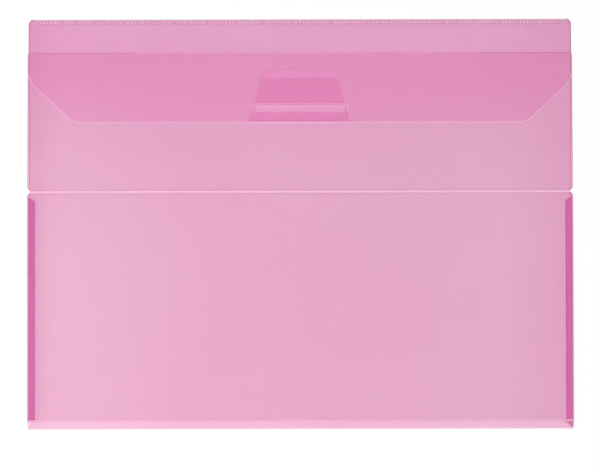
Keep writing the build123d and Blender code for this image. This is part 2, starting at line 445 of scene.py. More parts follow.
class Board:
    """A node tree with short ways to add nodes and join them."""

    def __init__(self, tree: bpy.types.NodeTree) -> None:
        """Takes the tree to work on."""
        self.tree = tree

    def add(self, kind: str, **inputs: object) -> bpy.types.Node:
        """Adds a node and joins or sets its inputs.

        Args:
            kind: The node's type, without the words that all types begin with.
            **inputs: For each input, by name with _ for a space, a socket or a value.

        Returns:
            The new node.
        """
        node = self.tree.nodes.new("ShaderNode" + kind)
        for name, value in inputs.items():
            self.join(node.inputs[name.replace("_", " ")], value)
        return node

    def join(self, socket: bpy.types.NodeSocket, value: object) -> None:
        """Links a socket to another, or gives it a plain value."""
        if isinstance(value, bpy.types.NodeSocket):
            self.tree.links.new(value, socket)
        else:
            socket.default_value = value

    def math(self, operation: str, *values: object) -> bpy.types.NodeSocket:
        """Does one sum on some values, taken in pairs from the first on.

        Args:
            operation: Blender's name of the sum.
            *values: Sockets and numbers.

        Returns:
            The result.
        """
        total = values[0]
        for value in values[1:]:
            node = self.tree.nodes.new("ShaderNodeMath")
            node.operation = operation
            self.join(node.inputs[0], total)
            self.join(node.inputs[1], value)
            total = node.outputs[0]
        return total

    def plus(self, *values: object) -> bpy.types.NodeSocket:
        """Some values added up."""
        return self.math("ADD", *values)

    def times(self, *values: object) -> bpy.types.NodeSocket:
        """Some values multiplied."""
        return self.math("MULTIPLY", *values)

    def most(self, *values: object) -> bpy.types.NodeSocket:
        """The largest of some values."""
        return self.math("MAXIMUM", *values)

    def ramp(self, value: object, low: float, high: float) -> bpy.types.NodeSocket:
        """Makes a smooth step from 0 to 1.

        Args:
            value: What it reads.
            low: Where it is 0.
            high: Where it is 1, above or below that.

        Returns:
            The step's result.
        """
        node = self.add("MapRange", Value=value, From_Min=low, From_Max=high)
        node.interpolation_type = "SMOOTHSTEP"
        return node.outputs[0]

    def blend(self, factor: object, first: object, second: object) -> bpy.types.NodeSocket:
        """Mixes two colours.

        Args:
            factor: 0 for the first and 1 for the second.
            first: A colour.
            second: Another colour.

        Returns:
            The colour between them.
        """
        node = self.tree.nodes.new("ShaderNodeMix")
        node.data_type = "RGBA"
        for index, value in zip(MIX_COLOURS, (factor, first, second)):
            self.join(node.inputs[index], value)
        return node.outputs[MIXED_COLOUR]

    def noise(
        self, place: object, waves: float, detail: float, rough: float = 0.55
    ) -> bpy.types.NodeSocket:
        """Makes soft noise.

        Args:
            place: Where it is read.
            waves: Its waves a metre.
            detail: How many finer ones are in each, every one half as long as the last.
            rough: How strong each of them is next to the one before.

        Returns:
            A value from 0 to 1.
        """
        node = self.add("TexNoise", Vector=place, Scale=waves, Detail=detail, Roughness=rough)
        return node.outputs[0]

    def here(self) -> bpy.types.NodeSocket:
        """The place on the piece, in metres."""
        return self.add("TexCoord").outputs["Object"]

    def mark(self, name: str) -> bpy.types.NodeSocket:
        """Reads one of the sheet's layers.

        Args:
            name: The layer's name.

        Returns:
            Its value.
        """
        node = self.add("Attribute")
        node.attribute_name = name
        return node.outputs["Fac"]

    def mixed(
        self, factor: object, first: bpy.types.Node, second: bpy.types.Node
    ) -> bpy.types.NodeSocket:
        """Mixes two shaders.

        Args:
            factor: 0 for the first and 1 for the second.
            first: A shader's node.
            second: Another shader's node.

        Returns:
            The mixed shader.
        """
        node = self.add("MixShader")
        for socket, value in zip(node.inputs, (factor, first.outputs[0], second.outputs[0])):
            self.join(socket, value)
        return node.outputs[0]

    def group(self, shade: Shade, **inputs: object) -> bpy.types.NodeOutputs:
        """Places one of the shared groups here.

        Args:
            shade: Which group.
            **inputs: A socket or a value for each input, by its name.

        Returns:
            The group's outputs.
        """
        node = self.add("Group")
        node.node_tree = bpy.data.node_groups[shade.value]
        for name, value in inputs.items():
            self.join(node.inputs[name], value)
        return node.outputs


def emptied(tree: bpy.types.NodeTree) -> Board:
    """A board on a tree, cleared of the nodes that it starts with."""
    tree.nodes.clear()
    return Board(tree)


class GroupBoard(Board):
    """The board of a shared node group with number sockets."""

    def __init__(self, shade: Shade, **inputs: float) -> None:
        """Starts the group.

        Args:
            shade: Which group it is.
            **inputs: The value of each input where nothing is joined, by its name.
        """
        super().__init__(bpy.data.node_groups.new(shade.value, "ShaderNodeTree"))
        for name, value in inputs.items():
            self._socket(name, "INPUT").default_value = value
        self.given = self.tree.nodes.new("NodeGroupInput").outputs

    def put_out(self, **results: bpy.types.NodeSocket) -> None:
        """Finishes the group.

        Args:
            **results: What each output gives, by its name.
        """
        for name in results:
            self._socket(name, "OUTPUT")
        node = self.tree.nodes.new("NodeGroupOutput")
        for name, value in results.items():
            self.join(node.inputs[name], value)

    def _socket(self, name: str, in_out: str) -> bpy.types.NodeTreeInterfaceSocket:
        """Adds one number socket to the group."""
        return self.tree.interface.new_socket(
            name=name, in_out=in_out, socket_type="NodeSocketFloat"
        )


@dataclass(frozen=True)
class SheetStock:
    """The sheet as it comes off the roll, matt embossed and faintly clouded, with a painted sheen and
    painted shade towards the sides.

    Attributes:
        fine: The fine emboss.
        fine_share: How much of the height it makes.
        soft: The soft unevenness under it.
        soft_share: How much of the height that makes.
        clouds: The noise that the clouds follow.
        haze: Share of the painted sheen in the middle of the case.
        haze_left: How it grows to the left, towards the lamp.
        haze_right: How it grows to the right.
        haze_low: Where the painted sheen begins at the top and where it is whole.
        margin_left: How painted shade deepens the tone along the left side.
        margin_right: How painted shade deepens the tone along the right side.
    """

    fine: Waves = (2600.0, 2.0)
    fine_share: float = 0.8
    soft: Waves = (420.0, 1.0)
    soft_share: float = 0.12
    clouds: Waves = (9.0, 3.0)
    haze: float = 0.42
    haze_left: Fade = (-40 * MM, -150 * MM, 0.64)
    haze_right: Fade = (50 * MM, 150 * MM, 0.28)
    haze_low: Span = (115 * MM, -20 * MM)
    margin_left: Fade = (-138 * MM, -162 * MM, 1.0)
    margin_right: Fade = (110 * MM, 170 * MM, 0.8)

    def build(self) -> None:
        """Makes the group."""
        board = GroupBoard(Shade.STOCK, Emboss=1.0)
        here = board.here()
        place = board.add("SeparateXYZ", Vector=here).outputs
        fine = board.times(board.noise(here, *self.fine), self.fine_share)
        soft = board.times(board.noise(here, *self.soft), self.soft_share)
        # Painted sheen from the lamp: paler to the left, a little to the right and lower on the case; and
        # painted shade deepening the tone along both sides.
        fades = (self.haze_left, self.haze_right, self.margin_left, self.margin_right)
        haze_left, haze_right, margin_left, margin_right = (
            board.times(board.ramp(place["X"], begins, whole), share)
            for begins, whole, share in fades
        )
        haze = board.plus(haze_left, haze_right, self.haze)
        board.put_out(
            Height=board.times(board.plus(fine, soft), board.given["Emboss"]),
            Cloud=board.math("SUBTRACT", board.noise(here, *self.clouds), 0.5),
            Bloom=board.times(haze, board.ramp(place["Y"], *self.haze_low)),
            Margin=board.plus(margin_left, margin_right),
        )


@dataclass(frozen=True)
class WorkedLines:
    """Lines along cuts and presses: painted highlights and painted shade on cut edges, painted shade lines,
    and white stress from pressing.

    Attributes:
        lip: From and to where on the cut edge's layer the painted highlight grows whole.
        rim: The same for the painted shade on cut edges.
        inner_rise: The same for the painted shadow line inside a cut edge.
        inner_fall: Where that line has gone, and where it is still whole.
        stress: Share of the whitening that is everywhere, and that comes in patches.
        patches: The noise that the patches follow.
    """

    lip: Span = (0.25, 0.6)
    rim: Span = (-0.08, -0.35)
    inner_rise: Span = (0.02, 0.2)
    inner_fall: Span = (0.5, 0.25)
    stress: tuple[float, float] = (0.8, 0.4)
    patches: Waves = (260.0, 2.0)

    def build(self) -> None:
        """Makes the group."""
        board = GroupBoard(Shade.WORK, Lip=1.0, Inner=1.0)
        edge = board.mark(CUT_EDGE)
        lip, rim, rise, fall = (
            board.ramp(edge, *limits)
            for limits in (self.lip, self.rim, self.inner_rise, self.inner_fall)
        )
        even, uneven = self.stress
        patches = board.noise(board.here(), *self.patches)
        patchy = board.plus(even, board.times(patches, uneven))
        # Painted highlight and painted shade on cut edges, a painted shadow line inside them, whitening from
        # pressing that also carries painted highlights, and painted shade beside creases, folds and teeth,
        # with deeper tone elsewhere.
        board.put_out(
            Lip=board.times(lip, board.given["Lip"]),
            Rim=rim,
            Inner=board.times(rise, fall, board.given["Inner"]),
            Stress=board.times(board.mark(PRESS_WHITE_OR_LIT), patchy),
            Deep=board.mark(SHADE_TONE),
        )


@dataclass(frozen=True)
class HandlingMarks:
    """Marks of handling: a few pale specks and faint long scuffs.

    Attributes:
        places: Places in a metre where a speck may be.
        spread: How the places are spread, each way.
        speck: Where a speck's edge begins and where it is whole, from its middle.
        bare: How much of the places stays without one, and where all have one.
        scuff_turn: How far the scuffs turn from the sheet's length, in radians.
        scuff_spread: How they are drawn out, each way.
        scuff_noise: The noise that they follow.
        scuff: From and to which level of it they grow whole.
    """

    places: float = 55.0
    spread: Point = (0.6, 1.0, 1.0)
    speck: Span = (0.045, 0.01)
    bare: Span = (0.94, 0.95)
    scuff_turn: float = 0.5
    scuff_spread: Point = (1.0, 9.0, 1.0)
    scuff_noise: Waves = (60.0, 4.0)
    scuff: Span = (0.62, 0.8)

    def build(self) -> None:
        """Makes the group."""
        board = GroupBoard(Shade.WEAR, Amount=1.0)
        here, amount = board.here(), board.given["Amount"]
        wide = board.add("Mapping", Vector=here, Scale=self.spread).outputs[0]
        cells = board.add("TexVoronoi", Vector=wide, Scale=self.places)
        cells.feature = "F1"
        cells.voronoi_dimensions = "2D"
        near = board.ramp(cells.outputs["Distance"], *self.speck)
        chosen = board.add("SeparateColor", Color=cells.outputs["Color"]).outputs[0]
        turned = board.add(
            "Mapping", Vector=here, Rotation=(0.0, 0.0, self.scuff_turn), Scale=self.scuff_spread
        )
        streak = board.noise(turned.outputs[0], *self.scuff_noise)
        board.put_out(
            Speck=board.times(near, board.ramp(chosen, *self.bare), amount),
            Scuff=board.times(board.ramp(streak, *self.scuff), amount),
        )


@dataclass(frozen=True)
class SheetFinish:
    """Translucent polypropylene sheet: how it covers, tints and shines.

    Attributes:
        name: The material's name.
        slot: The record's material slot that it stands for; not used.
        colour: The sheet's own colour, linear.
        deep: Its colour in painted shade, beside creases, folds, teeth and cut edges and towards the sides,
            and where its tone is deeper.
        pale: Its colour where pressing, specks and scuffs whiten it, and for painted highlights and painted
            sheen.
        rim: Its colour of painted shade along cut edges that face away from the light.
        tint: What a ray keeps of each colour as it passes one face.
        cover: How much one sheet hides of what is behind it.
        bloom: How much paler the sheet gets where the painted sheen is strongest.
        margin: How much painted shade deepens its tone towards the sides of the case.
        lip: How much paler a cut edge is, as a painted highlight.
        inner: How much deeper the painted shadow line inside a cut edge is.
        roughness: The gloss, 0 for a mirror.
        cloudy: How strong its clouds are.
        clouded: What is left of each of its colours where the clouds are deepest.
        cloud_levels: From and to which level of a cloud the tone changes.
        cloud_rough: How much rougher a cloud is.
        wear: How much it has been handled.
        speck: How much paler a speck is.
        scuff: How much paler and rougher a scuff is.
        emboss: How strong its emboss is next to that of plain stock.
        relief: Strength of the bumps, and their depth in metres.
        hides: How much more it hides in painted shade, where it is paler, on shaded cut edges and in a
            cloud.
    """

    name: str
    slot: str
    colour: Colour = (0.777, 0.197, 0.463)
    deep: Colour = (0.45, 0.04, 0.21)
    pale: Colour = (1.0, 0.52, 0.73)
    rim: Colour = (0.6, 0.25, 0.4)
    tint: Colour = (0.995, 0.964, 0.98)
    cover: float = 0.3
    bloom: float = 0.34
    margin: float = 0.0
    lip: float = 0.5
    inner: float = 0.3
    roughness: float = 0.42
    cloudy: float = 0.5
    clouded: Colour = (0.97, 0.86, 0.95)
    cloud_levels: Span = (-0.2, 0.2)
    cloud_rough: float = 0.12
    wear: float = 1.0
    speck: float = 0.55
    scuff: float = 0.15
    emboss: float = 1.0
    relief: tuple[float, float] = (0.12, 0.06 * MM)
    hides: tuple[float, float, float, float] = (0.3, 0.6, 0.5, 0.06)

    def material(self) -> bpy.types.Material:
        """Builds the sheet's material.

        Returns:
            A material that shows the surface over a clear tint, once for each sheet.
        """
        material = bpy.data.materials.new(self.name)
        material.use_nodes = True
        board = emptied(material.node_tree)
        stock = board.group(Shade.STOCK, Emboss=self.emboss)
        work = board.group(Shade.WORK, Lip=self.lip, Inner=self.inner)
        wear = board.group(Shade.WEAR, Amount=self.wear)
        cloud = board.times(stock["Cloud"], self.cloudy)
        scuff = board.times(wear["Scuff"], self.scuff)
        speck = board.times(wear["Speck"], self.speck)
        # Painted shade inside cut edges, beside creases, folds and teeth, and towards the sides; paler where
        # cut edges take a painted highlight, where pressing whitens it, and at specks and scuffs of wear.
        margin = board.times(stock["Margin"], self.margin)
        deeper = board.most(work["Inner"], work["Deep"], margin)
        lighter = board.most(work["Lip"], work["Stress"], speck, scuff)
        lighter = board.math("MINIMUM", lighter, 1.0)
        shaded = tuple(part * left for part, left in zip(self.colour, self.clouded))
        clouded = board.ramp(cloud, *self.cloud_levels)
        colour = board.blend(clouded, (*self.colour, 1), (*shaded, 1))
        # Laid on in turn: painted sheen, painted shade, whitening with painted highlights, and painted shade
        # on cut edges.
        tones = (
            (board.times(stock["Bloom"], self.bloom), self.pale),
            (deeper, self.deep),
            (lighter, self.pale),
            (work["Rim"], self.rim),
        )
        for factor, tone in tones:
            colour = board.blend(factor, colour, (*tone, 1))
        strength, depth = self.relief
        bump = board.add("Bump", Strength=strength, Distance=depth, Height=stock["Height"])
        surface = board.add(
            "BsdfPrincipled",
            Base_Color=colour,
            Roughness=board.plus(self.roughness, board.times(cloud, self.cloud_rough), scuff),
            IOR=POLYPROPYLENE_IOR,
            Normal=bump.outputs[0],
        )
        parts = zip((deeper, lighter, work["Rim"], cloud), self.hides)
        hides = board.plus(self.cover, *(board.times(part, share) for part, share in parts))
        path = board.add("LightPath").outputs
        light = board.most(path["Is Shadow Ray"], path["Is Diffuse Ray"])
        held = board.math("SUBTRACT", 1.0, board.times(light, LIGHT_PASSED))
        front = board.math("SUBTRACT", 1.0, board.add("NewGeometry").outputs["Backfacing"])
        clear = board.add("BsdfTransparent", Color=(*self.tint, 1))
        shown = board.times(board.math("MINIMUM", hides, 1.0), held, front)
        board.add("OutputMaterial", Surface=board.mixed(shown, clear, surface))
        return material


class Stock(Enum):
    """The finishes of the case."""

    # The back: painted shade deepens its tone towards the sides.
    BACK = SheetFinish(
        "back_sheet_finish", "case_sheet", colour=(0.633, 0.124, 0.402), cover=0.55, margin=0.3
    )
    # The front's cut edges: a painted highlight and a painted shadow line inside it.
    PANEL = SheetFinish("panel_sheet", "case_sheet", lip=0.8, inner=0.15)
    # The flap takes more of the painted sheen, and a painted highlight and shadow line on its cut edges.
    FLAP = SheetFinish(
        "flap_sheet_finish",
        "case_sheet",
        colour=(0.87, 0.18, 0.53),
        pale=(1.0, 0.62, 0.84),
        bloom=0.7,
        lip=0.75,
        inner=0.15,
    )
    # A paler copy of the sheet: painted light on the bottom wall, which slopes towards the lamp.
    WALL = SheetFinish(
        "wall_sheet", "case_sheet", colour=(1.0, 0.5, 0.68), pale=(1.0, 0.76, 0.9), cover=0.45
    )
    # The crease's white comes from pressing and is partly a painted highlight.
    CREASE = SheetFinish(
        "pressed_crease", "crease_sheet", pale=(1.0, 0.6, 0.8), cover=0.4, roughness=0.36
    )
    KNURL = SheetFinish("knurled_crease", "crease_sheet", pale=(1.0, 0.58, 0.8), roughness=0.36)
    # A deeper copy of the sheet: painted shade on the gussets' slanting leaves, with painted highlights on
    # their cut edges.
    GUSSET = SheetFinish(
        "gusset_sheet_finish",
        "gusset_sheet",
        colour=(0.62, 0.06, 0.43),
        cover=0.34,
        bloom=0.0,
        lip=0.9,
    )


@dataclass(frozen=True)
class Ride:
    """What a piece moves with: one body, or two with a bend between them.

    Attributes:
        body: The body.
        onto: The body past the bend, where there is one.
        start: Where the bend begins.
        end: Where it ends.
    """

    body: str
    onto: str = ""
    start: Point = (0.0, 0.0, 0.0)
    end: Point = (0.0, 0.0, 0.0)


def put(name: str, data: bpy.types.ID) -> bpy.types.Object:
    """Puts a new object into the scene.

    Args:
        name: Its name.
        data: Its mesh, lamp or camera.

    Returns:
        The object.
    """
    item = bpy.data.objects.new(name, data)
    bpy.context.scene.collection.objects.link(item)
    return item


class Bench:
    """Where bent patterns become finished pieces."""

    edge_round = 0.2  # radius of the cut edges, as a share of the thickness
    edge_faces = 2  # rows of faces that round them
    edge_angle = 50.0  # least degrees of an edge that is rounded

    def __init__(self, sheet: float) -> None:
        """Makes the shared groups and the materials.

        Args:
            sheet: The sheet's thickness.
        """
        for group in (SheetStock(), WorkedLines(), HandlingMarks()):
            group.build()
        self.sheet = sheet
        self.materials = {stock: stock.value.material() for stock in Stock}

    def finish(
        self,
        name: str,
        pattern: Pattern,
        stock: Stock,
        ride: Ride,
        nodes: Sequence[str],
        thickness: float = 0.0,
    ) -> bpy.types.Object:
        """Turns a bent pattern into a piece of the case.

        Args:
            name: The piece's name.
            pattern: The bent sheet, as its middle surface.
            stock: Its finish.
            ride: What it moves with.
            nodes: The frame's nodes that it stands for.
            thickness: Its thickness, where that isn't the sheet's own.

        Returns:
            The finished piece.
        """
        thickness = thickness or self.sheet
        mesh = bpy.data.meshes.new(name)
        pattern.tidy()
        for face in pattern.bm.faces:
            face.smooth = True
        pattern.bm.to_mesh(mesh)
        pattern.bm.free()
        piece = put(name, mesh)
        mesh.materials.append(self.materials[stock])
        wall = piece.modifiers.new("thickness", "SOLIDIFY")
        wall.thickness = thickness
        wall.offset = 0.0
        wall.use_quality_normals = True
        round_over = piece.modifiers.new("cut edges", "BEVEL")
        round_over.width = thickness * self.edge_round
        round_over.segments = self.edge_faces
        round_over.limit_method = "ANGLE"
        round_over.angle_limit = math.radians(self.edge_angle)
        round_over.harden_normals = True
        if ride.onto:
            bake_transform(piece, ride.body, ride.onto, start=ride.start, end=ride.end)
        else:
            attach(piece, ride.body)
        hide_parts(*nodes)
        LOG.info("%s: %d faces, for %s", name, len(mesh.polygons), ", ".join(nodes))
        return piece


def hinge_places() -> dict[str, Sequence[float]]:
    """The place of each hinge of the frame, by its name."""
    hinges = (joint for joint in frame["joints"] if joint["type"] == "hinge")
    return {joint["name"]: joint["pos_m"] for joint in hinges}


@dataclass(frozen=True)
class CaseFrame:
    """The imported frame's own measures, which every sheet is cut and bent to.

    Attributes:
        sheet: Thickness of the sheet.
        bend: Radius of every fold, to the middle of the sheet.
        back_half: Half the width of the back and the flap.
        front_half: Half the width of the front.
        top_fold: Centre of the folded top edge, as (y, z).
        bottom_fold: Centre of the bend between the back and the bottom wall.
        front_fold: Centre of the bend between the bottom wall and the front.
        tongue_fold: Centre of the bend between the flap and the tongue.
        crease: The low and high edge of the cross crease's band.
        web: Thickness of that band.
        front_middle: Height of the lower front's middle surface.
        mouth: The front's free top edge, as (y, height of its underside).
    """

    sheet: float
    bend: float
    back_half: float
    front_half: float
    top_fold: Spot
    bottom_fold: Spot
    front_fold: Spot
    tongue_fold: Spot
    crease: Span
    web: float
    front_middle: float
    mouth: Spot

    @classmethod
    def measured(cls) -> "CaseFrame":
        """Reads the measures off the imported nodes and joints.

        Returns:
            The case's measures.
        """
        (_, back_low, _), (back_half, back_high, sheet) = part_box("back_panel")
        (_, front_low, under), (front_half, _, over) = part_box("front_lower_panel")
        (_, crease_low, _), (_, crease_high, crease_over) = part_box("front_crease")
        (_, _, mouth_under), (_, mouth_y, _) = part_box("front_upper_panel")
        joints = hinge_places()
        height = joints["wall_fold"][2]
        bend = height - sheet / 2
        return cls(
            sheet=sheet,
            bend=bend,
            back_half=back_half,
            front_half=front_half,
            top_fold=(back_high, height),
            bottom_fold=(back_low, height),
            front_fold=(front_low, under - bend + sheet / 2),
            tongue_fold=tuple(joints["tongue_fold"][1:]),
            crease=(crease_low, crease_high),
            web=crease_over - under,
            front_middle=(under + over) / 2,
            mouth=(mouth_y, mouth_under),
        )

    @property
    def flap_slope(self) -> float:
        """How far the closed flap rises towards its lower edge."""
        (top_y, top_z), (fold_y, fold_z) = self.top_fold, self.tongue_fold
        return math.degrees(math.atan2(fold_z - top_z, top_y - fold_y))

    @property
    def flap_reach(self) -> float:
        """Length along the flap from the centre of its fold to that of the tongue's."""
        return math.dist(self.top_fold, self.tongue_fold)

    @property
    def leaf_slope(self) -> float:
        """How far the front's upper leaf falls towards the top edge."""
        drop = self.front_middle - self.sheet / 2 - self.mouth[1]
        return math.degrees(math.atan2(drop, self.mouth[0] - self.crease[1]))

    @property
    def wall_slope(self) -> float:
        """How steeply the bottom wall stands."""
        (low_y, low_z), (high_y, high_z) = self.bottom_fold, self.front_fold
        return math.degrees(math.atan2(high_z - low_z, high_y - low_y))

    def beside(self, centre: Spot, angle: float) -> Spot:
        """Finds the middle of the sheet on a fold.

        Args:
            centre: The fold's centre, as (y, z).
            angle: In which direction from there, 0 along Y and 90 upwards.

        Returns:
            The place, as (y, z).
        """
        (y, z), turn = centre, math.radians(angle)
        return (y + self.bend * math.cos(turn), z + self.bend * math.sin(turn))


@dataclass
class Notch:
    """The V notches that ease both ends of the cross crease.

    Attributes:
        middle: Where the crease's middle lies, in Y.
        half: Half the width of the sheet that they are cut into.
        height: Height of a notch at the sheet's side.
        depth: How far it reaches in.
    """

    middle: float
    half: float
    height: float = 4.3 * MM
    depth: float = 1.9 * MM

    @property
    def tip(self) -> float:
        """How far out from the middle of the case the notches begin."""
        return self.half - self.depth - EDGE_BAND / 4

    def edge(self, away: float) -> float:
        """The sheet's reach from the middle of the case, at a distance off the crease."""
        return self.half - self.depth + away * self.depth / (self.height / 2)

    def end(self, half: float) -> float:
        """How far off the crease the notch leaves a sheet's straight side."""
        return (half - self.half + self.depth) * (self.height / 2) / self.depth


@dataclass
class BackShell:
    """The back, its bottom wall and the crease between them.

    Attributes:
        bench: Where its pieces are finished.
        case: The case's measures.
        notch: The notches beside the cross crease.
        corner_radius: Radius of the back's top corners.
        ripple: The back's waves.
        joint: Painted shade line where the bend meets the back.
        joint_inset: How far it lies from the bend's end.
        slant: Share of the wall's height that the slants at its ends cross.
        left_mark: Reach and strength of the painted highlight in the left corner.
        right_mark: Reach and strength of the deeper mark in the right corner.
    """

    bench: Bench
    case: CaseFrame
    notch: Notch
    corner_radius: float = 3.2 * MM
    ripple: Ripple = Ripple(0.3 * MM, 70 * MM, 3.1)
    joint: Press = (1.0 * MM, 0.15)
    joint_inset: float = 0.6 * MM
    slant: float = 0.9
    left_mark: Press = (2.55 * MM, 0.5)
    right_mark: Press = (5.1 * MM, 0.8)

    def build(self) -> None:
        """Makes both pieces."""
        self.back()
        self.wall()

    def back(self) -> None:
        """The flat back, notched beside the cross crease, with rounded top corners."""
        case, notch, half = self.case, self.notch, self.case.back_half
        low, high = case.bottom_fold[0], case.top_fold[0]
        off = notch.end(half)
        line = BendLine((0.0, case.sheet / 2), 0.0, ((high, 0.0),))
        pattern = Pattern()
        pattern.cut(
            (
                (-SPARE, low - SPARE),
                (half, low - SPARE),
                (half, notch.middle - off),
                (notch.edge(0.0), notch.middle),
                (half, notch.middle + off),
                (half, high + SPARE),
                (-SPARE, high + SPARE),
            )
        )
        pattern.crop(low, high)
        # Painted shade on the side edges and in the notches.
        pattern.turn_away(notch.tip)
        pattern.grid(line, low, high, half)
        pattern.mirror()
        pattern.ripple(self.ripple)
        pattern.bend(line)
        round_corners(pattern, case, self.corner_radius)
        self.bench.finish("back_sheet", pattern, Stock.BACK, Ride("back"), ("back_panel",))

    def wall(self) -> None:
        """The sloping bottom wall, with its bend onto the back."""
        case, half, slope = self.case, self.case.front_half, self.case.wall_slope
        length = math.dist(case.bottom_fold, case.front_fold)
        start = case.beside(case.front_fold, 90 + slope)
        line = BendLine(start, 180 + slope, ((length, 0.0), arc(case.bend, 180 - slope)))
        whole = line.length()
        pattern = Pattern()
        pattern.fill((0.0, 0.0), (half, whole))
        pattern.grid(line, 0.0, whole, half)
        # A painted shade line where the bend meets the back.
        pattern.streak(pattern.hollow, whole - self.joint_inset, *self.joint)
        pattern.mirror()
        # A painted highlight in the left corner and a deeper tone in the right one.
        self.mark_corner(pattern, -1, pattern.pressed, self.slant * length, *self.left_mark)
        self.mark_corner(pattern, 1, pattern.hollow, self.slant * length, *self.right_mark)
        pattern.bend(line)
        for side in (-1, 1):
            pattern.trim((side * half, 0, 0), (side, 0, 0))
        y, z = case.bottom_fold
        end = case.beside(case.bottom_fold, 90 + slope)[1]
        ride = Ride("back", "wall", start=(0, y, z - case.bend), end=(0, y, end))
        nodes = ("back_bottom_crease", "bottom_wall")
        self.bench.finish("bottom_wall_sheet", pattern, Stock.WALL, ride, nodes)

    def mark_corner(
        self,
        pattern: Pattern,
        side: int,
        layer: bmesh.types.BMLayerItem,
        length: float,
        reach: float,
        strength: float,
    ) -> None:
        """Marks one end of the flat wall past a slant in one layer: a painted highlight in the left corner,
        a deeper tone in the right one.

        Args:
            pattern: The flat bottom wall.
            side: -1 for the left end and 1 for the right one.
            layer: The layer to mark.
            length: How far down the wall's end the mark reaches, from its front edge.
            reach: How far in the mark reaches along that edge.
            strength: How strong it is.
        """
        out = Vector((side * length, -reach, 0)).normalized()
        spot = Vector((side * (self.case.front_half - reach), 0, 0))
        pattern.slice(spot, out)
        pattern.slice(spot - out * EDGE_BAND / 2, out)
        for vert in pattern.bm.verts:
            if (vert.co - spot).dot(out) > -WELD:
                vert[layer] = strength


def round_corners(pattern: Pattern, case: CaseFrame, radius: float) -> None:
    """Rounds both ends of the folded top edge in plan, through whatever lies there, and paints shade along
    the new edges.

    Args:
        pattern: A bent sheet.
        case: The case's measures.
        radius: Radius of the corners.
    """
    x = case.back_half - radius
    y = case.top_fold[0] + case.bend + case.sheet / 2 - radius
    for side in (-1, 1):
        for turn in map(math.radians, CORNER_CUTS):
            out = Vector((side * math.cos(turn), math.sin(turn), 0))
            spot = Vector((side * x, y, 0)) + out * radius
            pattern.slice(spot - out * EDGE_BAND, out)
            pattern.slice(spot, out, clear=True)
    # Painted shade along the rounded corners' cut edges.
    for vert in pattern.bm.verts:
        off = Vector((abs(vert.co.x) - x, vert.co.y - y))
        if off.x > 0 and off.y > 0:
            past = clamp((off.length - radius) / EDGE_BAND + 1)
            vert[pattern.cut_edge] = min(vert[pattern.cut_edge], -past)


